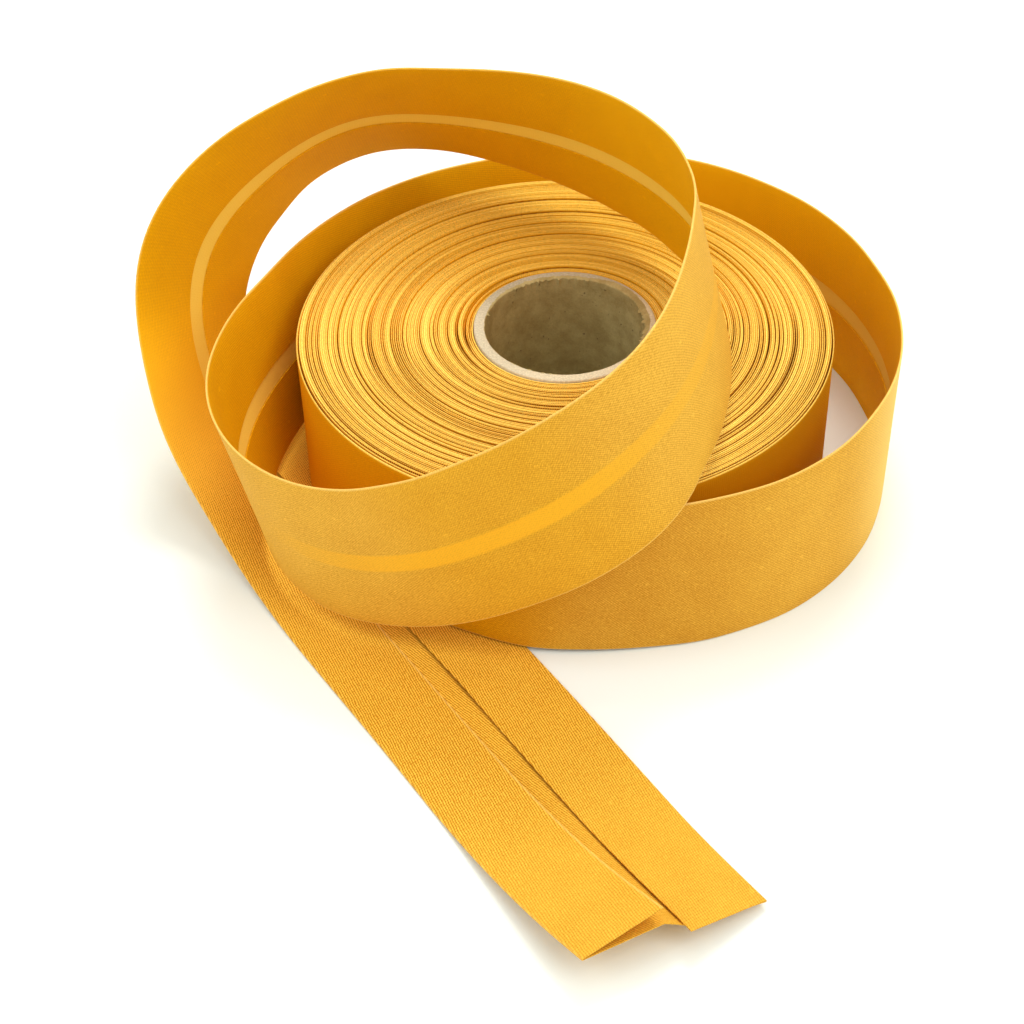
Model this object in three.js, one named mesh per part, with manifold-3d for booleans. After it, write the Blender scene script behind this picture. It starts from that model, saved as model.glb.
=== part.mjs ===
// Roll of folded bias binding on a cardboard core. The loose end stands round the roll as a lower
// loop, climbs over the roll as an upper loop and runs out flat on the floor with its flaps up.
// Millimetres, +Z up, the roll's axis upright.
import * as THREE from 'three';
import { mergeVertices } from 'three/addons/utils/BufferGeometryUtils.js';
import Module from 'manifold-3d';

const wasm = await Module();
wasm.setup();

// Driving dimensions
const tapeWidth = 40; // folded width of the binding, and the height of the roll
const flapWidth = 17.6; // each long edge of the cut strip, folded in
const layer = 1; // one layer of cloth
const slit = 0.3; // space between the back and a flap
const rollDiameter = 118;
const coreDiameter = 40.4;
const coreWall = 2.4;
const seatGap = 0.3; // between neighbouring pieces
const tailRoomHeight = 1.5; // free height over the tail where the rim of the roll stands on it
const tailTilt = 50; // the tail is the tape that lies flatter than this, in degrees

// Fineness of the faceted surfaces
const roundSteps = 96; // facets round the roll and the core
const stationStep = 6.5; // spacing of the sections along the loose end

// Free end of the tape: cut a little askew, with the flaps springing open
const endSkew = 4; // the foot edge runs on this much further than the head edge
const skewReach = 60;
const flapOpening = { head: { angle: 24, reach: 85 }, foot: { angle: 3.5, reach: 60 } };

// The loose end from the roll outwards, counter-clockwise seen from above.
// x, y, z: middle of the smooth outer face, from the roll's axis on the floor.
// lean: tilt outwards from upright, in degrees, where 90 lies flat with the flaps up.
const loosePath = [
  // off the roll at the front left, then round it as the lower loop, on its edge
  { x: -34.8, y: -52.6, z: 23.3, lean: 0 },
  { x: -18, y: -60.2, z: 23.3, lean: 0 },
  { x: 0, y: -62.5, z: 22.6, lean: 0 },
  { x: 26, y: -59, z: 20.1, lean: 0 },
  { x: 49.5, y: -49.5, z: 20, lean: 0 },
  { x: 66.5, y: -29, z: 20, lean: 0 },
  { x: 74, y: -4, z: 20, lean: 0 },
  { x: 71.2, y: 22.5, z: 20, lean: 0 },
  { x: 59, y: 46.5, z: 20, lean: 0 },
  { x: 37.5, y: 64, z: 20, lean: 0 },
  { x: 12, y: 71.5, z: 20, lean: 1 },
  { x: -14, y: 68.5, z: 20, lean: 2 },
  { x: -37.2, y: 57.2, z: 20.8, lean: 4 },
  { x: -54, y: 36.4, z: 23.6, lean: 8 },
  // left side, standing on the tape that comes down there
  { x: -63.8, y: 13.2, z: 29, lean: 9 },
  { x: -71, y: -12, z: 30.4, lean: 12 },
  { x: -70.5, y: -35, z: 27.4, lean: 12 },
  { x: -56.5, y: -53.5, z: 25, lean: 9 },
  // climbing across the front to the top of the roll
  { x: -36.5, y: -62, z: 28, lean: 4 },
  { x: -18, y: -66.5, z: 37.3, lean: 3 },
  { x: 1, y: -68.6, z: 50.6, lean: 0 },
  { x: 18, y: -61.2, z: 63.6, lean: -10 },
  // upper loop, from the right over the roll to the back and the left
  { x: 27, y: -38, z: 64.5, lean: -14 },
  { x: 30.3, y: -14, z: 64, lean: -13 },
  { x: 25.4, y: 9.5, z: 65, lean: -13 },
  { x: 6.8, y: 31, z: 67, lean: -18 },
  { x: -19, y: 43.4, z: 67.3, lean: -29 },
  { x: -45, y: 47, z: 66.5, lean: -33 },
  { x: -66, y: 37, z: 60, lean: -19 },
  // falling outwards to the floor
  { x: -81.4, y: 25, z: 48, lean: -2 },
  { x: -84.4, y: 13, z: 31, lean: 40 },
  { x: -77.3, y: 0, z: 14, lean: 67 },
  { x: -65, y: -14, z: 5.2, lean: 79 },
  { x: -53, y: -31, z: 1, lean: 88 },
  // flat tail, passing under the loops and the rim of the roll
  { x: -41, y: -50, z: 0, lean: 90 },
  { x: -26, y: -73, z: 0, lean: 90 },
  { x: -11.5, y: -96, z: 0, lean: 90 },
  { x: 3, y: -119.6, z: 2, lean: 84 },
  { x: 15.2, y: -137.9, z: 5.2, lean: 78 },
];

// Groups of turns on the upper face of the roll, from the rim inwards, and how far each stands down
const turnGroups = [
  { inner: 56.5, drop: 0.2 },
  { inner: 53, drop: 0.7 },
  { inner: 49, drop: 0.1 },
  { inner: 44.5, drop: 0.6 },
  { inner: 41, drop: 0.2 },
  { inner: 36.5, drop: 0.9 },
  { inner: 33, drop: 0.3 },
  { inner: 28, drop: 0.7 },
  { inner: 24, drop: 0.2 },
];
const grooveDepth = 0.6; // between neighbouring groups
const grooveWidth = 0.7;

const clothColour = 0xdfa040;
const woundColour = 0xe0aa52;
const boardColour = 0xb8a68a;

const columns = ['x', 'y', 'z', 'lean'];
const upward = new THREE.Vector3(0, 0, 1);

// One row of the path made from several, each with its own weight
function blendRows(rows, weights) {
  const sum = {};
  for (const name of columns) {
    sum[name] = rows.reduce((total, row, i) => total + row[name] * weights[i], 0);
  }
  return sum;
}

// The rows with one more at each end, carried straight on
function extended(rows) {
  const last = rows.length - 1;
  const before = blendRows([rows[0], rows[1]], [2, -1]);
  const after = blendRows([rows[last], rows[last - 1]], [2, -1]);
  return [before, ...rows, after];
}

// Control rows of a uniform cubic spline that passes close to every row of the table
function splineControls(rows) {
  const wide = extended(rows);
  const sharpened = rows.map((row, i) => blendRows(wide.slice(i, i + 3), [-1 / 6, 4 / 3, -1 / 6]));
  return extended(sharpened);
}

function splineAt(controls, u) {
  const span = Math.min(Math.floor(u), controls.length - 4);
  const t = u - span;
  const s = 1 - t;
  const weights = [s ** 3, 3 * t ** 3 - 6 * t ** 2 + 4, 3 * s ** 3 - 6 * s ** 2 + 4, t ** 3];
  return blendRows(controls.slice(span, span + 4), weights.map((weight) => weight / 6));
}

// Sections spaced evenly along the path: place, direction along, across (foot to head) and to the flaps
function tapeStations(rows, step) {
  const controls = splineControls(rows);
  const fine = 40; // samples for each row of the table
  const samples = [];
  const lengths = [0];
  for (let i = 0; i <= (rows.length - 1) * fine; i += 1) {
    const row = splineAt(controls, i / fine);
    const at = new THREE.Vector3(row.x, row.y, row.z);
    if (i > 0) {
      lengths.push(lengths[i - 1] + at.distanceTo(samples[i - 1].at));
    }
    samples.push({ at, lean: THREE.MathUtils.degToRad(row.lean) });
  }
  const total = lengths[lengths.length - 1];
  const count = Math.round(total / step);
  const stations = [];
  let i = 1;
  for (let k = 0; k <= count; k += 1) {
    const distance = (total * k) / count;
    while (i < samples.length - 1 && lengths[i] < distance) {
      i += 1;
    }
    const share = (distance - lengths[i - 1]) / (lengths[i] - lengths[i - 1]);
    const at = samples[i - 1].at.clone().lerp(samples[i].at, share);
    const lean = THREE.MathUtils.lerp(samples[i - 1].lean, samples[i].lean, share);
    const along = samples[i].at.clone().sub(samples[i - 1].at).normalize();
    const upright = upward.clone().addScaledVector(along, -along.z).normalize();
    const outward = along.clone().cross(upright);
    const across = upright.clone().multiplyScalar(Math.cos(lean)).addScaledVector(outward, Math.sin(lean));
    const toFlaps = across.clone().cross(along);
    stations.push({ at, along, across, toFlaps, toEnd: total - distance });
  }
  return stations;
}

// Folded section of the tape as a closed outline: w across from foot to head, n from the smooth face
function foldedSection(headAngle, footAngle) {
  const half = tapeWidth / 2;
  const gapHalf = half - flapWidth;
  const flapMiddle = half - flapWidth / 2;
  const foldInside = half - layer;
  const flapIn = layer + slit;
  const flapOut = flapIn + layer;
  const flapPoint = (w, n, angle) => {
    const run = foldInside - Math.abs(w);
    if (run <= 0) {
      return { w, n };
    }
    return {
      w: Math.sign(w) * (foldInside - run * Math.cos(angle)),
      n: n + run * Math.sin(angle),
    };
  };
  const back = [-half, -flapMiddle, -gapHalf, gapHalf, flapMiddle, half].map((w) => ({ w, n: 0 }));
  const inside = [foldInside, flapMiddle, gapHalf, -gapHalf, -flapMiddle, -foldInside];
  const flap = (side, angle) => [
    ...[half, flapMiddle, gapHalf].map((w) => flapPoint(side * w, flapOut, angle)),
    ...[gapHalf, flapMiddle, foldInside].map((w) => flapPoint(side * w, flapIn, angle)),
  ];
  const head = flap(1, headAngle);
  const foot = flap(-1, footAngle).reverse();
  return [...back, ...head, ...inside.map((w) => ({ w, n: layer })), ...foot];
}

function openingAngle({ angle, reach }, toEnd) {
  const share = Math.max(0, 1 - toEnd / reach);
  return THREE.MathUtils.degToRad(angle) * share ** 2;
}

// Closed skin over a row of outlines with the same number of points
function skin(outlines, capShape) {
  const size = capShape.length;
  const last = (outlines.length - 1) * size;
  const index = [];
  for (let ring = 0; ring < outlines.length - 1; ring += 1) {
    for (let j = 0; j < size; j += 1) {
      const k = (j + 1) % size;
      const [a, b] = [ring * size + j, ring * size + k];
      const [c, d] = [a + size, b + size];
      // both layers of the fold are split along the same diagonal, so they stay parallel
      if (capShape[k].x >= capShape[j].x) {
        index.push(a, c, d, a, d, b);
      } else {
        index.push(a, c, b, b, c, d);
      }
    }
  }
  for (const [a, b, c] of THREE.ShapeUtils.triangulateShape(capShape, [])) {
    index.push(a, b, c);
    index.push(last + a, last + c, last + b);
  }
  const geometry = new THREE.BufferGeometry();
  const points = outlines.flat();
  geometry.setAttribute('position', new THREE.Float32BufferAttribute(points.flatMap((p) => p.toArray()), 3));
  geometry.setIndex(index);
  geometry.computeVertexNormals();
  return geometry;
}

function placeSection(station, section) {
  const skewed = Math.max(0, 1 - station.toEnd / skewReach) ** 2;
  return section.map(({ w, n }) => {
    const point = station.at.clone().addScaledVector(station.across, w).addScaledVector(station.toFlaps, n);
    point.addScaledVector(station.along, (-endSkew * skewed * w) / tapeWidth);
    point.z = n < 0 ? point.z : Math.max(point.z, 0); // the cloth lies on the floor, never in it
    return point;
  });
}

const stations = tapeStations(loosePath, stationStep);

function looseEnd() {
  const outlines = stations.map((station) => {
    const head = openingAngle(flapOpening.head, station.toEnd);
    const foot = openingAngle(flapOpening.foot, station.toEnd);
    return placeSection(station, foldedSection(head, foot));
  });
  const cap = foldedSection(0, 0).map(({ w, n }) => new THREE.Vector2(w, n));
  return skin(outlines, cap);
}

// Turned solid from a closed outline of radius and height, about +Z
function turned(outline) {
  const points = [...outline, outline[0]].map(([r, z]) => new THREE.Vector2(r, z));
  const geometry = new THREE.LatheGeometry(points, roundSteps);
  geometry.rotateX(Math.PI / 2);
  return geometry;
}

function toManifold(geometry) {
  const bare = geometry.clone();
  bare.deleteAttribute('normal');
  bare.deleteAttribute('uv');
  const merged = mergeVertices(bare, 1e-4);
  return new wasm.Manifold(new wasm.Mesh({
    numProp: 3,
    vertProperties: new Float32Array(merged.attributes.position.array),
    triVerts: new Uint32Array(merged.index.array),
  }));
}

function fromManifold(solid) {
  const mesh = solid.getMesh();
  const geometry = new THREE.BufferGeometry();
  geometry.setAttribute('position', new THREE.BufferAttribute(new Float32Array(mesh.vertProperties), 3));
  geometry.setIndex(new THREE.BufferAttribute(new Uint32Array(mesh.triVerts), 1));
  geometry.computeVertexNormals();
  return geometry;
}

// Room for the flat tail under the rim of the roll
function tailRoom() {
  const side = tapeWidth / 2 + seatGap;
  const above = 2 * layer + slit + tailRoomHeight;
  const below = -4 * above;
  const section = [[-side, below], [side, below], [side, above], [-side, above]].map(([w, n]) => ({ w, n }));
  const lying = Math.cos(THREE.MathUtils.degToRad(tailTilt));
  const tail = stations.filter((station) => station.toFlaps.z > lying && station.at.z < tapeWidth);
  const outlines = tail.map((station) => placeSection(station, section));
  return skin(outlines, section.map(({ w, n }) => new THREE.Vector2(w, n)));
}

function woundRoll() {
  const bore = coreDiameter / 2 + seatGap;
  const rim = rollDiameter / 2;
  const outline = [[bore, 0], [rim, 0]];
  let outer = rim;
  for (const { inner, drop } of turnGroups) {
    const top = tapeWidth - drop;
    outline.push([outer, top], [inner + grooveWidth, top], [inner + grooveWidth / 2, top - grooveDepth]);
    outer = inner;
  }
  outline.push([outer, tapeWidth], [bore, tapeWidth]);
  const solid = toManifold(turned(outline));
  return fromManifold(solid.subtract(toManifold(tailRoom())));
}

function coreTube() {
  const outer = coreDiameter / 2;
  const inner = outer - coreWall;
  const soft = 0.4; // crushed edges of the board
  return turned([
    [inner, soft], [inner + soft, 0], [outer - soft, 0], [outer, soft],
    [outer, tapeWidth - soft], [outer - soft, tapeWidth], [inner + soft, tapeWidth], [inner, tapeWidth - soft],
  ]);
}

function piece(name, geometry, color, roughness) {
  const mesh = new THREE.Mesh(geometry, new THREE.MeshStandardMaterial({ color, roughness, metalness: 0 }));
  mesh.name = name;
  return mesh;
}

const bindingRoll = new THREE.Group();
bindingRoll.add(piece('core', coreTube(), boardColour, 0.9));
bindingRoll.add(piece('roll', woundRoll(), woundColour, 0.85));
bindingRoll.add(piece('loose_end', looseEnd(), clothColour, 0.8));

// The origin is the middle of the whole part's footprint, on the floor
const reach = new THREE.Box3().setFromObject(bindingRoll, true);
const middle = reach.getCenter(new THREE.Vector3());
bindingRoll.position.set(-middle.x, -middle.y, -reach.min.z);

export default bindingRoll;
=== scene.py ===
import math
import bpy
import numpy as np
from mathutils import Matrix, Vector
from mathutils.bvhtree import BVHTree


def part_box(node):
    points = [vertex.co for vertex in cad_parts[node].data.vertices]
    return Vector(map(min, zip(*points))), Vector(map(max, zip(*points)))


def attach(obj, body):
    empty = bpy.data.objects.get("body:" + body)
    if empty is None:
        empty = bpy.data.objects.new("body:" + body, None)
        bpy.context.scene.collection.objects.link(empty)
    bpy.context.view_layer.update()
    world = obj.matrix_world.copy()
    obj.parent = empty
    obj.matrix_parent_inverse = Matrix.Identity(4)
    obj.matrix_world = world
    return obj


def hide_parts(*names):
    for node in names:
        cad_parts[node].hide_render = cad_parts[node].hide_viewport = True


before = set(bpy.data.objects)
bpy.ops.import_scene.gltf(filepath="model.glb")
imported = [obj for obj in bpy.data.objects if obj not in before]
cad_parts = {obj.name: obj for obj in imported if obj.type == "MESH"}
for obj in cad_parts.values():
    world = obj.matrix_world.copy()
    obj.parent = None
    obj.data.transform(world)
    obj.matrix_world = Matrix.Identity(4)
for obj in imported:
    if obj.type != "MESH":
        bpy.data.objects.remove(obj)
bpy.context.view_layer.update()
print("frame loaded")

mm = 0.001
coreLow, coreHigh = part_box("core")
rollAxis = Vector(((coreLow.x + coreHigh.x) / 2, (coreLow.y + coreHigh.y) / 2, 0))
fullTurn = 2 * math.pi

# camera at the photo's angle
photoCamera = {
    "lens": 71.3,  # mm
    "sensor": 36,
    "nearest": 0.01,  # metres
    "eye": (-12.74, -360.6, 309.5),  # mm from the foot of the roll's axis
    "pitch": 42.02,  # degrees below the horizon
    "roll": -1.48,
}


def addCamera(made):
    pitch = math.radians(made["pitch"])
    roll = math.radians(made["roll"])
    forward = Vector((0, math.cos(pitch), -math.sin(pitch)))
    right = Vector((1, 0, 0))
    up = right.cross(forward)
    turnedRight = right * math.cos(roll) + up * math.sin(roll)
    turnedUp = up * math.cos(roll) - right * math.sin(roll)
    place = Matrix((turnedRight, turnedUp, -forward)).transposed().to_4x4()
    place.translation = rollAxis + Vector(made["eye"]) * mm
    lens = bpy.data.cameras.new("photoCamera")
    lens.lens = made["lens"]
    lens.sensor_width = made["sensor"]
    lens.clip_start = made["nearest"]
    camera = bpy.data.objects.new("photoCamera", lens)
    camera.matrix_world = place
    bpy.context.collection.objects.link(camera)
    bpy.context.scene.camera = camera


addCamera(photoCamera)
print("camera placed")


def makeActive(piece):
    bpy.ops.object.select_all(action="DESELECT")
    piece.select_set(True)
    bpy.context.view_layer.objects.active = piece


def outwardNormals(piece):
    makeActive(piece)
    bpy.ops.object.mode_set(mode="EDIT")
    bpy.ops.mesh.select_all(action="SELECT")
    bpy.ops.mesh.normals_make_consistent(inside=False)
    bpy.ops.object.mode_set(mode="OBJECT")


def meshFromArrays(name, points, faces, smoothAngle):
    mesh = bpy.data.meshes.new(name)
    mesh.from_pydata((points * mm + np.array(rollAxis)).tolist(), [], faces)
    mesh.update()
    piece = bpy.data.objects.new(name, mesh)
    bpy.context.collection.objects.link(piece)
    outwardNormals(piece)
    bpy.ops.object.shade_smooth_by_angle(angle=math.radians(smoothAngle))
    return piece


def setPointValues(piece, name, values):
    layer = piece.data.attributes.new(name, "FLOAT", "POINT")
    layer.data.foreach_set("value", np.asarray(values, np.float32).ravel())


def skinFaces(rings, size, closed):  # quads over rings of size points, each ring closed
    ring, step = np.meshgrid(np.arange(rings if closed else rings - 1), np.arange(size), indexing="ij")
    following = (ring + 1) % rings * size
    a = ring * size + step
    b = ring * size + (step + 1) % size
    c = following + (step + 1) % size
    d = following + step
    return np.stack((a, d, c, b), -1).reshape(-1, 4).tolist()


def gentleWave(place, seed, longest, waves):
    draw = np.random.default_rng(seed)
    total = np.zeros_like(place)
    for i in range(waves):
        length = longest / (1 + 0.9 * i)
        total += np.sin(fullTurn * place / length + draw.uniform(0, fullTurn)) / (1 + i)
    return total / 1.5


# loose end of the binding: one long strip with both edges folded in, mm
tape = {
    "width": 40,
    "flap": 17.6,
    "cloth": 0.22,  # one layer
    "slit": 0.05,  # between the back and a flap
    "step": 1.6,  # spacing of the sections
    "startMark": 19,  # distances along are counted from here
    "endSkew": 4,  # the foot edge runs on further than the head edge
    "skewReach": 60,  # how far back the skew, arch and slip at the cut end start
    "endArch": 2.6,  # the back lifts beside the slit at the cut end
    "archSpan": (-3, 2.4),  # across the tape: where the arch starts and where it is highest
    "footSlip": (2.8, 1.5),  # the corner of the foot flap has slipped along and across
    "headOpening": (20.5, 85),  # degrees at the cut end, and how far back it starts
    "footOpening": (1.5, 60),
    "headLift": (0.02, 0.4),  # degrees, on the loops and on the tail
    "footLift": (0.02, 1.6),
    "tailFrom": (770, 800),
    "ripple": 0.22,  # uneven lie of the cloth
    "floorGap": 0.02,
    # distance along, and how far the slit between the flaps strays towards the head
    "slitDrift": [(0, 0), (330, -1.5), (400, -2.5), (450, -1), (520, 0),
                  (600, -1.5), (672, -3.6), (735, -1.6), (790, 0)],
}

# x, y, z of the smooth face's middle from the roll's axis, and lean from upright in degrees
tapePath = [
    (-28.5, -53.2, 21.0, 0), (-14.5, -59.5, 21.0, 0), (0, -62, 20.9, 0), (26, -60, 20.1, 0),
    (49.5, -49.5, 20, 0), (66.5, -29, 20, 0), (74, -4, 20, 0), (71.2, 22.5, 20, 0), (59, 46.5, 20, 0),
    (37.5, 64, 20, 0), (12, 71.5, 20, 1), (-14, 68.5, 20, 2), (-37.2, 57.2, 20.6, 4), (-53.5, 36, 22.8, 8),
    (-62.6, 13, 26.8, 9), (-70.6, -12, 28.7, 12), (-70.5, -35, 26.6, 12), (-56.5, -53.5, 25, 9),
    (-36.5, -62, 28, 4), (-18, -66.5, 37.3, 3), (1, -68.3, 50.3, 0), (18, -60.8, 63, -10),
    (27, -38, 64.5, -14), (30.3, -14, 64, -13), (25.4, 9.5, 65, -13), (6.8, 31, 67, -18),
    (-19, 43.4, 67.3, -29), (-45, 47, 66.5, -33), (-66, 37, 60, -19),
    (-81.4, 25, 48, -2), (-84.4, 13, 31, 40), (-77.3, 0, 14, 67), (-65, -14, 5.2, 79), (-53, -31, 1, 88),
    (-41, -50, 0, 90), (-26, -73, 0, 90), (-11.5, -96, 0, 90), (3, -119.6, 2, 84),
    (15.2, -137.9, 5.2, 78),
]


def carriedOn(rows):  # one more row at each end, straight on
    return np.vstack((2 * rows[0] - rows[1], rows, 2 * rows[-1] - rows[-2]))


def splineRows(rows, fine):
    wide = carriedOn(rows)
    controls = carriedOn(wide[1:-1] * 4 / 3 - (wide[:-2] + wide[2:]) / 6)
    place = np.arange((len(rows) - 1) * fine + 1) / fine
    span = np.minimum(place.astype(int), len(controls) - 4)
    t = (place - span)[:, None]
    s = 1 - t
    weights = (s**3, 3 * t**3 - 6 * t**2 + 4, 3 * s**3 - 6 * s**2 + 4, t**3)
    return sum(weight * controls[span + i] for i, weight in enumerate(weights)) / 6


def unit(vectors):
    return vectors / np.linalg.norm(vectors, axis=1, keepdims=True)


def tapeStations(made):
    samples = splineRows(np.array(tapePath, float), 40)
    steps = np.linalg.norm(np.diff(samples[:, :3], axis=0), axis=1)
    lengths = np.concatenate(([0], np.cumsum(steps)))
    distance = np.linspace(0, lengths[-1], round(lengths[-1] / made["step"]) + 1)
    rows = np.stack([np.interp(distance, lengths, column) for column in samples.T], 1)
    at = rows[:, :3]
    lean = np.radians(rows[:, 3:])
    along = unit(np.gradient(at, axis=0))
    upright = unit(np.array((0, 0, 1.0)) - along * along[:, 2:])
    outward = np.cross(along, upright)
    across = upright * np.cos(lean) + outward * np.sin(lean)
    return {
        "at": at, "along": along, "across": across, "toFlaps": np.cross(across, along),
        "distance": distance + made["startMark"], "toEnd": lengths[-1] - distance, "length": lengths[-1],
    }


def foldedOutline(made):
    # closed outline of the folded strip: w across, n from the smooth face, run = reach of a flap
    # from its fold, v = place across the cut strip, wrong = 1 on the wrong side of the cloth
    half = made["width"] / 2
    thick = made["cloth"]
    whole = 2 * thick + made["slit"]
    bend = whole / 2
    edge = half - bend
    gapHalf = half - made["flap"]
    arc = [(math.cos(math.radians(a)), math.sin(math.radians(a))) for a in (-60, -30, 0, 30, 60)]
    back = np.linspace(-edge, edge, 15)
    flap = np.linspace(edge, gapHalf, 9)
    head = [(edge + bend * c, bend + bend * s, 0, half + bend * s, 0) for c, s in arc]
    head += [(w, whole, edge - w, 2 * half - w, 0) for w in flap]
    head += [(w, thick + made["slit"], edge - w, 2 * half - w, 1) for w in flap[::-1]]
    head += [(edge + made["slit"] / 2, bend, 0, half, 1)]
    foot = [(-w, n, run, -v, wrong) for w, n, run, v, wrong in head[::-1]]
    outer = [(w, 0, 0, w, 0) for w in back]
    inner = [(w, thick, 0, w, 1) for w in back[::-1]]
    return np.array(outer + head + inner + foot)


def flapAngles(made, stations, flap, seed):
    angle, reach = made[flap + "Opening"]
    share = np.clip(1 - stations["toEnd"] / reach, 0, None) ** 2
    uneven = np.clip(1 + 0.5 * gentleWave(stations["distance"], seed, 70, 4), 0.15, None)
    lift = np.interp(stations["distance"], made["tailFrom"], made[flap + "Lift"])
    return np.radians(angle * share + lift * uneven)[:, None]


def slitPlace(made, stations):
    return np.interp(stations["distance"], *np.array(made["slitDrift"]).T)[:, None]


def flapShift(made, stations, outline):  # the free edges of both flaps follow the slit
    return slitPlace(made, stations) * outline[:, 2] / outline[:, 2].max()


def placeTape(made, stations, outline):
    half = made["width"] / 2
    side = np.sign(outline[:, 0])
    shifted = flapShift(made, stations, outline)
    w = outline[:, 0] + shifted
    n = outline[:, 1]
    run = outline[:, 2] - side * shifted
    headAngle = flapAngles(made, stations, "head", 3)
    footAngle = flapAngles(made, stations, "foot", 5)
    angle = np.where(side > 0, headAngle, footAngle)
    nearEnd = np.clip(1 - stations["toEnd"] / made["skewReach"], 0, None)[:, None] ** 2
    slipAlong, slipAcross = made["footSlip"]
    slipped = nearEnd**2 * (side < 0) * run / made["flap"]
    wide = w + side * run * (1 - np.cos(angle)) + slipAcross * slipped
    headSway = gentleWave(stations["distance"], 11, 90, 5)[:, None]
    footSway = gentleWave(stations["distance"], 12, 80, 5)[:, None]
    sway = np.where(wide > 0, headSway, footSway) * made["ripple"] * (wide / half) ** 2
    lying = np.clip(stations["toFlaps"][:, 2:], 0, 1)
    archFrom, archTop = made["archSpan"]
    arch = np.clip((w - archFrom) / (archTop - archFrom), 0, 1) * (run <= 0)
    arch = arch * np.clip((half - w) / (half - archTop), 0, 1)
    high = n + run * np.sin(angle) + sway * (1 - lying) + made["endArch"] * nearEnd * arch
    shift = slipAlong * slipped - made["endSkew"] * nearEnd * wide / made["width"]
    points = stations["at"][:, None] + stations["across"][:, None] * wide[..., None]
    points = points + stations["toFlaps"][:, None] * high[..., None]
    points = points + stations["along"][:, None] * shift[..., None]
    points[..., 2] = np.maximum(points[..., 2], made["floorGap"] + n * lying)
    return points


def makeLooseTape(made):
    stations = tapeStations(made)
    outline = foldedOutline(made)
    points = placeTape(made, stations, outline)
    rings, size = points.shape[:2]
    last = (rings - 1) * size
    ends = [list(range(size)), list(range(last + size - 1, last - 1, -1))]
    piece = meshFromArrays("looseTape", points.reshape(-1, 3), skinFaces(rings, size, False) + ends, 50)
    setPointValues(piece, "alongTape", np.repeat(stations["distance"], size))
    shifted = flapShift(made, stations, outline)
    setPointValues(piece, "acrossStrip", outline[:, 3] - shifted)
    setPointValues(piece, "fromSlit", np.abs(outline[:, 0] + shifted - slitPlace(made, stations)))
    setPointValues(piece, "wrongSide", np.tile(outline[:, 4], rings))
    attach(piece, "root")
    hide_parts("loose_end")
    stations["length"] * mm
    print("loose end made, mm long:", round(stations["length"]))
    return piece


looseTape = makeLooseTape(tape)

# wound binding: every turn shows its fold on the upper face, mm
wound = {
    "inner": 20.35,
    "outer": 59,
    "height": 40,
    "turns": 89,
    "around": 200,
    "lastStep": 0.5,  # the outermost turn stands proud where the tape leaves
    "lastTurns": 4,  # turns that share that step
    "leaves": math.radians(241.8),
    "wander": 0.1,  # how far a turn strays from its circle
    "groupSize": (2, 6),  # turns that were pushed down together
    "groupDrop": 0.5,
    "turnDrop": 0.16,
    "topWaves": (0.1, 0.07),  # slow rise and fall of a fold on its way round
    "topRoom": 0.05,
    "valley": 0.1,
    "openDepth": 1.4,
    "shoulder": 0.09,  # drop of a fold beside its crest
    "gapShare": (0.15, 0.32),  # share of a turn taken by a closed gap, and what an open one adds
    "frontStep": (2, 5),  # at the front the gaps stand open more evenly
    "rimDrop": 0.3,
    "rimInset": 0.3,  # where the tape under the rim is measured
    "bulge": 0.08,
    "wallRows": (1, 0.97, 0.9, 0.75, 0.5, 0.25, 0.1, 0.03, 0.008),  # shares of the wall's height
    "underGap": 0.12,  # over the tape that passes under the rim
    "underFold": 0.12,  # half a fold on the underside
    "underGroove": 0.25,
    # gaps that stand wide open: radius, middle and half width of the arc in degrees, how far
    "openGaps": [(22.3, 165, 45, 1.6), (24.0, 185, 60, 1.1), (21.4, 150, 50, 1.0), (28.5, 285, 60, 1.1),
                 (30.4, 20, 60, 1.0), (34.6, 40, 70, 0.9), (39.3, 30, 75, 0.9), (46.4, 35, 60, 0.9),
                 (58.2, 245, 45, 1.0), (57.2, 240, 50, 0.8), (50.6, 330, 40, 1.0)],
}


def surfaceTree(piece):
    points = [v.co for v in piece.data.vertices]
    return BVHTree.FromPolygons(points, [p.vertices[:] for p in piece.data.polygons])


def tapeHeightUnder(tree, x, y):
    origin = Vector((x, y, 25)) * mm + rollAxis
    hit = tree.ray_cast(origin, Vector((0, 0, -1)))[0]
    return hit.z / mm if hit else 0


def turnGroups(made):
    draw = np.random.default_rng(7)
    firsts = np.cumsum(draw.integers(*made["groupSize"], made["turns"]))
    return np.searchsorted(firsts, np.arange(made["turns"]), side="right")


def turnTops(made, angles):
    draw = np.random.default_rng(17)
    turns = made["turns"]
    drop = draw.uniform(0, made["groupDrop"], turns)[turnGroups(made)]
    drop = drop + draw.uniform(0, made["turnDrop"], turns)
    phase = np.cumsum(draw.normal(0, 0.35, (2, turns)), axis=1)
    once, twice = made["topWaves"]
    slow = once * np.sin(angles + phase[0][:, None]) + twice * np.sin(2 * angles + phase[1][:, None])
    return made["height"] - drop[:, None] - slow - made["topRoom"]


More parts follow.
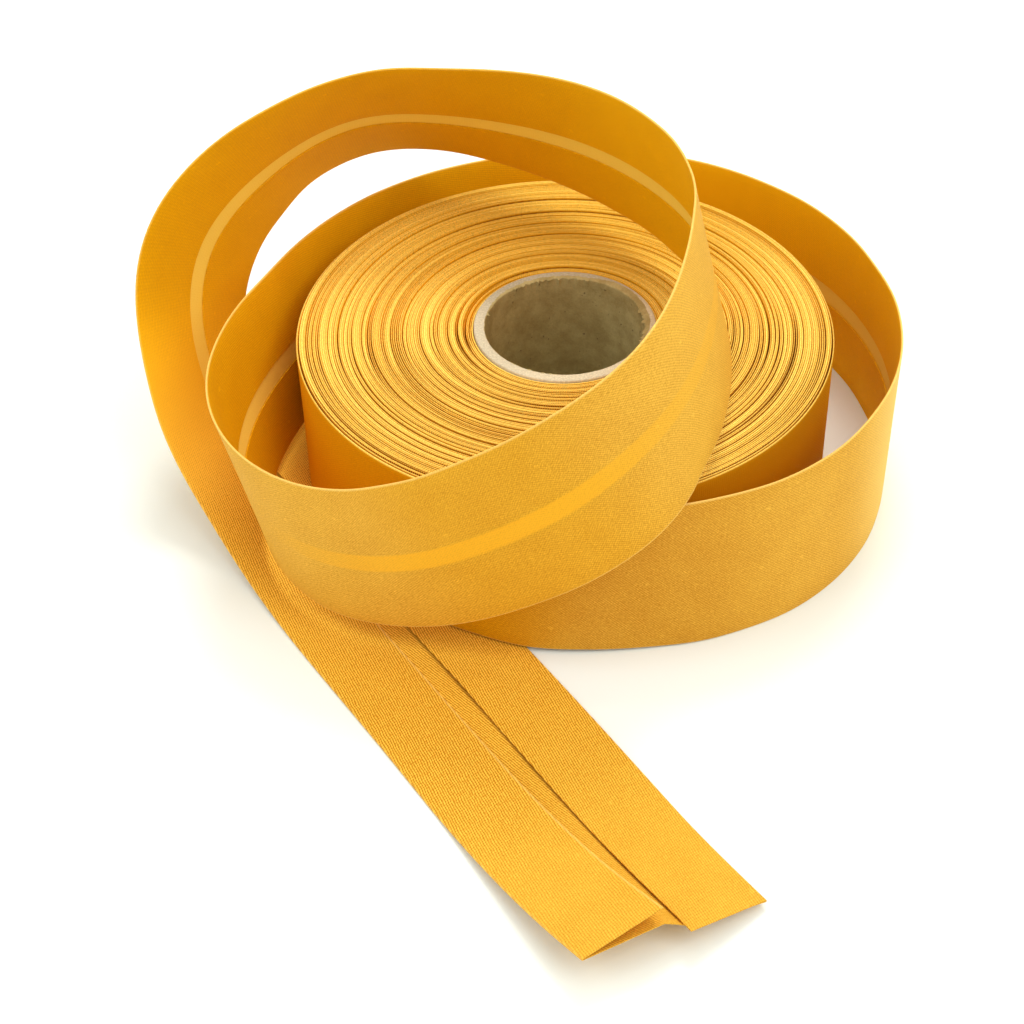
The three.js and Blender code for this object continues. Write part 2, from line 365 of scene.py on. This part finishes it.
def gapOpenings(made, radii, angles):  # 0 closed, 1 wide open, for each border between turns
    draw = np.random.default_rng(8)
    count = len(radii)
    gapShade = np.concatenate(([0], np.diff(turnGroups(made)) > 0, [0]))
    closed = 0.6 * draw.uniform(0, 1, count) ** 2
    opening = np.where(gapShade > 0, draw.uniform(0.45, 1, count), closed)[:, None]
    phase = draw.uniform(0, fullTurn, (2, count, 1))
    changing = 0.8 + 0.25 * np.sin(angles + phase[0]) + 0.25 * np.sin(3 * angles + phase[1])
    opening = opening * np.clip(changing, 0, 1.3) * (0.82 - 0.13 * np.sin(angles))
    lineAt = np.isin(np.arange(count), np.cumsum(draw.integers(*made["frontStep"], count)))
    openLine = draw.uniform(0.45, 0.85, count)
    closedLine = draw.uniform(0, 0.12, count)
    even = np.where(lineAt, openLine, closedLine)[:, None]
    front = np.clip(-2 * np.sin(angles) - 0.5, 0, 1)
    opening = opening * (1 - front) + even * front
    for radius, middle, halfWidth, wide in made["openGaps"]:
        away = np.abs((np.degrees(angles) - middle + 180) % 360 - 180) / halfWidth
        near = np.abs(radii - radius) == np.abs(radii - radius).min()
        opening = np.maximum(opening, near[:, None] * wide * np.clip(1 - away**2, 0, 1))
    return opening


def turnEdges(made, borders, angles, draw):  # the borders, uneven, and proud where the tape leaves
    turns = made["turns"]
    count = np.arange(turns + 1)[:, None]
    drift = np.cumsum(draw.normal(0, 0.3, turns + 1))[:, None]
    stray = made["wander"] * np.sin(2 * angles + drift) * np.sin(math.pi * count / turns)
    since = (angles - made["leaves"]) % fullTurn / fullTurn
    proud = made["lastStep"] * since * np.clip(1 - (turns - count) / made["lastTurns"], 0, 1)
    return borders[:, None] + stray + proud


def upperFaceRows(made, edges, tops, opening, tones):
    lower = np.minimum(np.vstack((tops[:1], tops)), np.vstack((tops, tops[-1:])))
    valleys = lower - made["valley"] - made["openDepth"] * opening
    closedShare, openShare = made["gapShare"]
    spread = closedShare + openShare * np.clip(opening, 0, 1)
    down = made["shoulder"]
    rows = []
    # crest steers the painted highlight and gap shade: low in an open valley and lowered beside it, so the
    # painted shade reaches into the slopes
    for k in range(made["turns"]):
        width = edges[k + 1] - edges[k]
        rows.append((edges[k], valleys[k], np.clip(0.6 - opening[k], 0, 1), tones[k], 0))
        inner, outer = spread[k], 1 - spread[k + 1]
        crown = (inner + outer) / 2
        places = ((inner, down, opening[k]), (crown, 0, 0), (outer, down, opening[k + 1]))
        for share, drop, beside in places:
            crest = 1 - 2 * drop - 0.25 * beside
            rows.append((edges[k] + share * width, tops[k] - drop, crest, tones[k], 0))
    return rows


def wallRows(made, rim, rimTop, lift, angles):
    bulge = made["bulge"] * np.sin(3 * angles[0] + 1)
    rows = []
    for share in made["wallRows"]:
        out = rim + bulge * share * (1 - share) * 4
        rows.append((out, lift + share * (rimTop - lift), 1, 0.5, 1))
    return rows


def undersideRows(made, edges):
    rows = []
    for k in range(made["turns"], -1, -2):
        rows.append((np.maximum(edges[k] - made["underFold"], made["inner"]), 0, 0.6, 0.5, 0))
        rows.append((np.maximum(edges[max(k - 1, 0)], made["inner"]), made["underGroove"], 0.6, 0.5, 0))
    return rows


def makeWoundTurns(made, tapePiece):
    angles = np.linspace(0, fullTurn, made["around"], endpoint=False)[None]
    turns = made["turns"]
    draw = np.random.default_rng(9)
    borders = made["inner"] + (made["outer"] - made["inner"]) / turns * np.arange(turns + 1)
    edges = turnEdges(made, borders, angles, draw)
    tops = turnTops(made, angles)
    opening = gapOpenings(made, borders, angles)
    tones = draw.uniform(0, 1, turns)
    tapeBelow = surfaceTree(tapePiece)
    rim = edges[-1]
    lift = np.array([tapeHeightUnder(tapeBelow, r * math.cos(a), r * math.sin(a))
                     for r, a in zip(rim - made["rimInset"], angles[0])])
    lift = lift + made["underGap"] * (lift > 0)

    # rows of points round the roll: radius, height, crest, tone and outer wall
    rows = upperFaceRows(made, edges, tops, opening, tones)
    rows += wallRows(made, rim, tops[-1] - made["rimDrop"], lift, angles)
    bottomStart = len(rows)
    rows += undersideRows(made, edges)
    rows = np.array([[np.broadcast_to(value, rim.shape) for value in row] for row in rows])
    radius, height, crest, tone, wall = rows.transpose(1, 2, 0).copy()
    x = radius * np.cos(angles.T)
    y = radius * np.sin(angles.T)
    for j in range(height.shape[0]):
        for i in range(bottomStart, height.shape[1]):
            over = tapeHeightUnder(tapeBelow, x[j, i], y[j, i])
            if over > 0:
                height[j, i] += over + made["underGap"]
    points = np.stack((x, y, height), -1)
    rings, size = points.shape[:2]
    piece = meshFromArrays("woundTurns", points.reshape(-1, 3), skinFaces(rings, size, True), 60)
    for name, values in (("crest", crest), ("turnTone", tone), ("outerWall", wall)):
        setPointValues(piece, name, values)
    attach(piece, "root")
    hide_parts("roll")
    print("wound turns made", len(piece.data.polygons))
    return piece


woundTurns = makeWoundTurns(wound, looseTape)

# cardboard tube in the middle, mm
board = {
    "outer": 20.2,
    "wall": 2.4,
    "height": 40,
    "around": 300,
    "rows": 16,
    "softEdge": 0.35,
    "tear": 0.6,  # ragged inner edge
    "tearReach": 0.9,
}


def makeBoardCore(made):
    bpy.ops.object.select_all(action="DESELECT")
    bpy.ops.mesh.primitive_circle_add(
        vertices=made["around"], radius=made["outer"] * mm, fill_type="NOTHING", location=rollAxis)
    piece = bpy.context.object
    piece.name = "boardCore"
    bpy.ops.object.mode_set(mode="EDIT")
    bpy.ops.mesh.select_all(action="SELECT")
    rise = made["height"] / made["rows"] * mm
    for row in range(made["rows"]):
        bpy.ops.mesh.extrude_region_move(TRANSFORM_OT_translate={"value": (0, 0, rise)})
    bpy.ops.object.mode_set(mode="OBJECT")
    bpy.ops.object.transform_apply(location=True, rotation=True, scale=True)
    outwardNormals(piece)
    solid = piece.modifiers.new("boardWall", "SOLIDIFY")
    solid.thickness = made["wall"] * mm
    solid.offset = -1
    soft = piece.modifiers.new("softEdge", "BEVEL")
    soft.width = made["softEdge"] * mm
    soft.segments = 3
    soft.limit_method = "ANGLE"
    for modifier in ("boardWall", "softEdge"):
        bpy.ops.object.modifier_apply(modifier=modifier)
    ragBoardEdge(piece, made)
    bpy.ops.object.shade_smooth_by_angle(angle=math.radians(40))
    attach(piece, "root")
    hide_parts("core")
    print("board core made", len(piece.data.polygons))
    return piece


def ragBoardEdge(piece, made):
    points = np.empty(len(piece.data.vertices) * 3)
    piece.data.vertices.foreach_get("co", points)
    points = points.reshape(-1, 3)
    flat = points[:, :2] - np.array(rollAxis)[:2]
    radius = np.linalg.norm(flat, axis=1)
    angle = np.arctan2(flat[:, 1], flat[:, 0])
    inner = (made["outer"] - made["wall"]) * mm
    fromEdge = np.hypot(radius - inner, points[:, 2] - made["height"] * mm) / mm
    near = np.clip(1 - fromEdge / made["tearReach"], 0, 1)
    draw = np.random.default_rng(21)
    ragged = draw.normal(0, 1, made["around"])
    torn = np.interp(angle % fullTurn, np.linspace(0, fullTurn, made["around"]), ragged)
    torn = torn * (0.35 + 0.65 * (gentleWave(angle * 10, 22, 19, 5) > 0.1))
    moved = 1 - made["tear"] * mm * near * np.abs(torn) / radius
    points[:, :2] = flat * moved[:, None] + np.array(rollAxis)[:2]
    points[:, 2] -= made["tear"] * 0.5 * mm * near * np.abs(torn)
    piece.data.vertices.foreach_set("co", points.ravel())
    piece.data.update()


boardCore = makeBoardCore(board)


class Shade:
    # one output socket, so that shader maths reads as plain sums
    def __init__(self, tree, socket=None):
        self.tree = tree
        self.socket = socket

    def add(self, kind, settings, inputs, output=0):
        node = self.tree.nodes.new("ShaderNode" + kind)
        for name, value in settings.items():
            setattr(node, name, value)
        for name, value in inputs.items():
            if isinstance(value, Shade):
                self.tree.links.new(value.socket, node.inputs[name])
            else:
                node.inputs[name].default_value = value
        return Shade(self.tree, node.outputs[output] if node.outputs else None)

    def sum(self, operation, first, second=0.0):
        return self.add("Math", {"operation": operation}, {0: first, 1: second})

    def __add__(self, other):
        return self.sum("ADD", self, other)

    def __sub__(self, other):
        return self.sum("SUBTRACT", self, other)

    def __rsub__(self, other):
        return self.sum("SUBTRACT", other, self)

    def __mul__(self, other):
        return self.sum("MULTIPLY", self, other)

    def __pow__(self, other):
        return self.sum("POWER", self, other)

    __radd__ = __add__
    __rmul__ = __mul__

    def sin(self):
        return self.sum("SINE", self)

    def cos(self):
        return self.sum("COSINE", self)

    def size(self):
        return self.sum("ABSOLUTE", self)

    def ramp(self, low, high):  # 0 below low, 1 above high
        return self.add("MapRange", {"interpolation_type": "SMOOTHSTEP"}, {0: self, 1: low, 2: high})

    def attribute(self, name):
        return self.add("Attribute", {"attribute_name": name}, {}, "Fac")

    def vector(self, x, y, z=0.0):
        return self.add("CombineXYZ", {}, {0: x, 1: y, 2: z})

    def between(self, setsIn, ends):  # 1 from the end of the first pair to the start of the second
        return self.ramp(*setsIn) * (1 - self.ramp(*ends))

    def noise(self, vector, scale, detail=2.0, rough=0.5):
        inputs = {"Vector": vector, "Scale": scale, "Detail": detail, "Roughness": rough}
        return self.add("TexNoise", {}, inputs)

    def blend(self, factor, first, second):
        first, second = (c if isinstance(c, Shade) else (*c, 1) for c in (first, second))
        return self.add("Mix", {"data_type": "RGBA"}, {0: factor, 6: first, 7: second}, 2)

    def scaled(self, colour, amount):
        return self.add("VectorMath", {"operation": "SCALE"}, {0: colour, 3: amount})


def newMaterial(name):
    material = bpy.data.materials.new(name)
    material.use_nodes = True
    material.node_tree.nodes.clear()
    return material, Shade(material.node_tree)


def finishMaterial(shade, colour, height, made):
    relief = {"Strength": made["bump"], "Distance": made["bumpDepth"] * mm, "Height": height}
    bump = shade.add("Bump", {}, relief, "Normal")
    surface = shade.add("BsdfPrincipled", {}, {
        "Base Color": colour,
        "Roughness": made["roughness"],
        "Specular IOR Level": made["shine"],
        "Normal": bump,
    })
    shade.add("OutputMaterial", {}, {"Surface": surface})


# woven cotton on the bias: cycles per mm along and across the strip for each set of threads
weave = {
    "warp": (1.0, 1.05),
    "weft": (-0.68, 0.87),
    "unsteady": 2.4,
    "ribs": (0.35, 1.9),  # ribs that catch the light, and the way along them
    "ribsAlong": (0.98, -0.18),
    "weftAlong": (0.79, 0.62),
    "wobbleScale": 0.4,
    "grainScale": 1.6,
    "fuzzScale": 2.3,
}


def weavePattern(shade, u, v):
    def phase(way):
        return u * way[0] + v * way[1]

    def grain(across, along):
        return shade.noise(shade.vector(across, along), weave["grainScale"], 1.0) - 0.5

    place = shade.vector(u, v)
    warpPhase = phase(weave["warp"])
    weftPhase = phase(weave["weft"])
    wobble = (shade.noise(place, weave["wobbleScale"], 1.0) - 0.5) * weave["unsteady"]
    warp = warpPhase * fullTurn + wobble
    weft = weftPhase * fullTurn + wobble * 1.4
    ribGrain = grain(phase(weave["ribs"]), phase(weave["ribsAlong"]) * 0.7)
    weftGrain = grain(weftPhase * 2, phase(weave["weftAlong"]) * 0.5)
    fuzz = shade.noise(place, weave["fuzzScale"], 1.0, 0.6) - 0.5
    ribs = 0.6 * (warp + weft).cos() + 0.22 * (warp - weft).cos()
    ribs = ribs * (1 + 2.2 * ribGrain) + ribGrain + 1.5 * fuzz
    lines = 0.22 * (2 * weft).cos() + 0.3 * (1.4 * warp).cos()
    lines = lines * (1 + 2.5 * weftGrain) + weftGrain + 1.8 * fuzz
    threads = (warpPhase * fullTurn).sin().size() + (weftPhase * fullTurn).sin().size()
    return ribs, lines, threads


tapeCloth = {
    "deep": (0.60, 0.245, 0.0003),  # in the loops; deep and bright are blended by the weave and by painted light and shade
    "bright": (1.0, 0.53, 0.001),
    "deepPale": (0.52, 0.20, 0.006),  # painted sheen: a pale veil of reflected white light on the smooth face and the tail
    "brightPale": (1.0, 0.58, 0.07),
    "slitGlowOuter": (0.97, 0.48, 0.02),  # painted glow of light shining through the single layer in the slit
    "slitGlowInner": (1.0, 0.70, 0.1),
    # painted highlight, also used for the free edge and the sheen on the right outside
    "fold": (0.98, 0.68, 0.2),
    "shadow": (0.25, 0.085, 0.002),
    "roughness": 0.7,
    "shine": 0.12,
    "bump": 0.35,
    "bumpDepth": 0.05,  # mm
    # mm across the cut strip from its middle
    "foldAt": 20,
    "flapFrom": (19.9, 20.1),
    "freeEdgeAt": 37.4,
    "underEdgeAt": -2.5,
    "slitHalf": (1.9, 2.7),
    # mm along the tape, for the weave and for the painted light, shade, sheen and glow: a change sets in
    # from the first place to the second, a second pair ends it
    "tail": (765, 800),
    "cutEnd": (880, 930),
    "rightInside": ((120, 165), (230, 300)),
    "leftInside": ((345, 370), (400, 420)),
    "overInside": ((560, 600), (610, 650)),
    "comingDown": ((742, 766), (830, 870)),
    "onFloor": (780, 810),
    "frontRight": ((72, 100), (110, 150)),
    "rightOutside": ((110, 145), (250, 300)),
    "frontMiddle": ((455, 480), (500, 525)),  # the middle of the front, painted deeper: less sheen and a little painted shade
    "overOutside": ((515, 540), (600, 640)),
    "sheenOnFace": (25, 55),
    "sheenOnFlaps": (742, 800),
    "slitSeen": ((425, 470), (585, 630)),
    "slitDull": (495, 540),
    "foldDull": (600, 680),
}


def clothMaterial(made):
    material, shade = newMaterial("tapeCloth")
    u = shade.attribute("alongTape")
    v = shade.attribute("acrossStrip")
    wrong = shade.attribute("wrongSide")
    fromSlit = shade.attribute("fromSlit")
    ribs, lines, threads = weavePattern(shade, u, v)
    flap = v.size().ramp(*made["flapFrom"])
    smooth = (1 - flap) * (1 - wrong)  # the face without flaps
    tail = u.ramp(*made["tail"])
    cutEnd = u.ramp(*made["cutEnd"])
    frontMiddle = u.between(*made["frontMiddle"])
    rightOutside = u.between(*made["rightOutside"])

    # weave and mottle, strongest on the flaps of the tail
    strength = 0.5 + smooth * 0.35 + (1 - smooth) * tail * (1.3 - 1.1 * cutEnd)
    pattern = ribs + (lines - ribs) * smooth
    mottle = shade.noise(shade.vector(u, v), 0.12, 2.0) - 0.5
    fleck = shade.noise(shade.vector(u * 0.9 + v * 0.3, v), 0.55, 0.0).ramp(0.78, 0.84)

    # painted light and shade along the flap side and along the smooth face
    inside = u.between(*made["rightInside"]) + 0.7 * u.between(*made["overInside"])
    inside = inside + 1.7 * u.between(*made["comingDown"]) * (1 - 0.7 * u.ramp(*made["onFloor"]))
    inside = inside - 0.45 * u.between(*made["leftInside"])
    inside = inside - 0.25 * tail * (1 - cutEnd) * v.ramp(*made["flapFrom"])
    setsIn, ends = made["frontRight"]
    outside = 0.36 * rightOutside - (0.05 + 0.17 * (1 - u.ramp(*setsIn))) * (1 - u.ramp(*ends))
    outside = outside - 0.07 * frontMiddle + 0.09 * u.between(*made["overOutside"])
    lit = (1 - smooth) * inside * 0.28 + smooth * outside
    light = 0.5 + 0.5 * strength * pattern + 0.2 * mottle + 0.18 * fleck + lit
    # painted sheen: pale where the smooth face and the tail's flaps reflect the white surroundings
    paintedSheen = smooth * (u.ramp(*made["sheenOnFace"]) - 0.4 * frontMiddle)
    paintedSheen = paintedSheen + 0.85 * (1 - smooth) * u.ramp(*made["sheenOnFlaps"])
    inLoops = shade.blend(light, made["deep"], made["bright"])
    pale = shade.blend(light, made["deepPale"], made["brightPale"])
    colour = shade.blend(paintedSheen, inLoops, pale)

    # painted glow: light shining through the single layer that the slit leaves
    slit = (1 - fromSlit.ramp(*made["slitHalf"])) * (1 - flap)
    seenThrough = u.between(*made["slitSeen"]) * (1 - 0.65 * u.ramp(*made["slitDull"]))
    slitGlow = shade.blend(wrong, made["slitGlowOuter"], made["slitGlowInner"])
    shown = smooth * seenThrough + wrong * (1 - tail)
    colour = shade.blend(slit * shown * (0.8 + 0.25 * wrong + 0.3 * pattern), colour, slitGlow)

    # painted highlights along the folds and the head flap's free edge, painted sheen on the right outside,
    # and painted shade under a flap's edge
    fold = 1 - (v.size() - made["foldAt"]).size().ramp(0.05, 0.5)
    colour = shade.blend(fold * (0.55 - 0.35 * u.ramp(*made["foldDull"])), colour, made["fold"])
    freeEdge = (1 - (v - made["freeEdgeAt"]).size().ramp(0.05, 0.4)) * tail * 0.3
    underEdge = (1 - (v - made["underEdgeAt"]).size().ramp(0.15, 0.7)) * wrong * tail
    colour = shade.blend(0.5 * underEdge, colour, made["shadow"])
    colour = shade.blend(freeEdge + 0.55 * smooth * rightOutside, colour, made["fold"])
    finishMaterial(shade, colour, threads * 0.7, made)
    return material


woundCloth = {
    # painted highlight on the crests
    "crest": (0.99, 0.755, 0.165),
    "flank": (0.80, 0.36, 0.004),
    # painted shade in the gaps between turns
    "gapShadeColour": (0.18, 0.025, 0.001),
    # deep and bright are blended by the weave and by painted light and shade
    "wallDeep": (0.60, 0.245, 0.0003),
    "wallBright": (1.0, 0.53, 0.001),
    "wallShade": ((-1.6, -1.1), (-0.6, 0)),  # painted shade of the front loop on the wall, round the roll in radians: sets in, ends
    "dotSpacing": 0.5,  # threads that show along a fold, mm
    "roughness": 0.75,
    "shine": 0.12,
    "bump": 0.4,
    "bumpDepth": 0.05,  # mm
}


def rollCoordinates(shade):
    place = shade.add("TexCoord", {}, {}, "Object")
    toAxis = {"Vector": place, "Location": (-rollAxis.x, -rollAxis.y, 0)}
    centred = shade.add("Mapping", {"vector_type": "POINT"}, toAxis)
    millimetres = shade.scaled(centred, 1 / mm)
    x, y, z = (shade.add("SeparateXYZ", {}, {0: millimetres}, i) for i in range(3))
    radius = (x * x + y * y) ** 0.5
    angle = shade.sum("ARCTAN2", y, x)
    return radius, angle, z, millimetres


def woundMaterial(made):
    material, shade = newMaterial("woundCloth")
    radius, angle, high = rollCoordinates(shade)[:3]
    crest = shade.attribute("crest")
    tone = shade.attribute("turnTone")
    wall = shade.attribute("outerWall")
    along = angle * radius
    dots = (along * (fullTurn / made["dotSpacing"]) + tone * 40).sin()
    broken = shade.noise(shade.vector(along * 0.35, tone * 90), 1.0, 2.0)
    grain = shade.noise(shade.vector(along * 3.2, radius * 3.6), 1.0, 1.0, 0.7) - 0.5

    # sides of the roll, for painted light and shade
    facing = (0 - angle.sin()).ramp(-0.2, 0.6)
    behind = angle.sin().ramp(0.2, 0.9)
    leftSide = (0 - angle.cos()).ramp(0.3, 0.9)

    # painted highlights on the crests, then the flanks, and painted shade in the gaps between them, deeper
    # at the front and the back and shallower on the left
    lightest = (0.66 + 0.34 * tone) * (1 - 0.42 * behind)
    colour = shade.blend(crest.ramp(0.45, 1.0) * lightest, made["flank"], made["crest"])
    dark = 0.6 - 0.2 * leftSide + 0.35 * behind + facing * (0.8 + 0.9 * dots)
    gapShade = (1 - crest) * dark + 0.7 * grain
    colour = shade.blend(gapShade.ramp(0.12, 0.45), colour, made["flank"])
    colour = shade.blend(gapShade.ramp(0.3, 0.64), colour, made["gapShadeColour"])
    # brightness: painted light, darker behind and lighter at the front, with the turns' own tone, threads
    # and grain
    value = 0.94 - 0.1 * behind + 0.07 * facing + 0.14 * tone + 0.24 * dots * broken + 1.5 * grain

    # outer wall, the smooth face of the last turn, with painted shade where the front loop shades it
    lines, threads = weavePattern(shade, angle * wound["outer"], high)[1:]
    wallLight = 0.42 - 0.5 * angle.between(*made["wallShade"])
    wallColour = shade.blend(wallLight + 0.25 * lines, made["wallDeep"], made["wallBright"])
    colour = shade.blend(wall, shade.scaled(colour, value), wallColour)
    finishMaterial(shade, colour, 0.5 * threads + dots * 0.5 * crest, made)
    return material


boardFinish = {
    "rim": (0.70, 0.61, 0.41),
    "inside": (0.37, 0.28, 0.105),
    "insideLight": (0.50, 0.40, 0.17),
    "fleck": (0.09, 0.06, 0.03),
    # mm from the axis and from the floor
    "rimFrom": (17.75, 17.95),
    "rimHeight": (39.0, 39.4),
    "outerFrom": (19.4, 19.6),
    "roughness": 0.92,
    "shine": 0.15,
    "bump": 0.6,
    "bumpDepth": 0.2,  # mm
}


def boardMaterial(made):
    material, shade = newMaterial("coreBoard")
    radius, angle, high, place = rollCoordinates(shade)
    mottle = shade.noise(place, 0.22, 5.0, 0.6)
    pulp = shade.noise(place, 2.2, 4.0, 0.6)
    fleck = shade.noise(place, 0.9, 1.0).ramp(0.72, 0.78)
    inside = shade.blend(mottle.ramp(0.3, 0.7), made["inside"], made["insideLight"])
    inside = shade.blend(fleck * 0.6, inside, made["fleck"])
    backShadeAndTear = angle.sin().ramp(0.1, 0.9)  # the back of the rim: painted shade, and a thinner, more ragged torn edge
    leftSide = (0 - angle.cos()).ramp(0.3, 0.9)
    # painted shade: the rim is darker at the back and on the left
    rim = shade.scaled(made["rim"], 0.8 + 0.4 * pulp - 0.3 * backShadeAndTear - 0.14 * leftSide)
    worn = 1.1 * angle.between((-0.5, 0.1), (0.7, 1.3))  # thin at the right, where it is torn
    ragged = shade.noise(shade.vector(angle.cos(), angle.sin()), 12.0, 3.0, 0.7) - 0.4
    torn = worn + (0.5 + 1.4 * backShadeAndTear) * ragged + 0.5 * backShadeAndTear
    onRim = (radius - torn).ramp(*made["rimFrom"]) * high.ramp(*made["rimHeight"])
    colour = shade.blend(onRim + radius.ramp(*made["outerFrom"]), inside, rim)
    colour = shade.scaled(colour, 0.75 + 0.5 * pulp)
    finishMaterial(shade, colour, pulp + mottle, made)
    return material


looseTape.data.materials.append(clothMaterial(tapeCloth))
woundTurns.data.materials.append(woundMaterial(woundCloth))
boardCore.data.materials.append(boardMaterial(boardFinish))
print("finishes set")

# plain pale floor and soft studio light
studio = {
    "floorSize": 6,
    "floorDrop": 0.0001,
    "floor": (0.90, 0.95, 0.89),
    "floorRoughness": 0.8,
    "floorShine": 0.2,
    "world": ((1, 1, 1), 0.68),  # colour and strength
    # name, place, size, power in watts
    "lights": [("overhead", (0.1, -0.15, 1.1), 0.8, 2.4), ("back", (0.1, 0.5, 1.0), 0.4, 4),
               ("left", (-0.75, -0.2, 0.8), 0.7, 2.4), ("right", (0.55, -0.5, 0.9), 0.7, 3.6)],
}


def addStudio(made):
    bpy.ops.object.select_all(action="DESELECT")
    bpy.ops.mesh.primitive_plane_add(size=made["floorSize"], location=(0, 0, -made["floorDrop"]))
    floor = bpy.context.object
    floor.name = "studioFloor"
    material, shade = newMaterial("paleFloor")
    fine = shade.noise(shade.add("TexCoord", {}, {}, "Object"), 3.0)
    surface = shade.add("BsdfPrincipled", {}, {
        "Base Color": shade.scaled(made["floor"], 0.99 + 0.02 * fine),
        "Roughness": made["floorRoughness"],
        "Specular IOR Level": made["floorShine"],
    })
    shade.add("OutputMaterial", {}, {"Surface": surface})
    floor.data.materials.append(material)
    world = bpy.data.worlds.new("studioWorld")
    bpy.context.scene.world = world
    world.use_nodes = True
    sky = world.node_tree.nodes["Background"]
    sky.inputs["Color"].default_value = (*made["world"][0], 1)
    sky.inputs["Strength"].default_value = made["world"][1]
    for name, place, size, power in made["lights"]:
        lamp = bpy.data.lights.new(name, "AREA")
        lamp.shape = "DISK"
        lamp.size = size
        lamp.energy = power
        light = bpy.data.objects.new(name, lamp)
        light.location = place
        light.rotation_euler = (-Vector(place)).to_track_quat("-Z", "Y").to_euler()
        bpy.context.collection.objects.link(light)
    bpy.context.scene.view_settings.view_transform = "Standard"
    print("studio lit")


addStudio(studio)

bpy.context.view_layer.update()
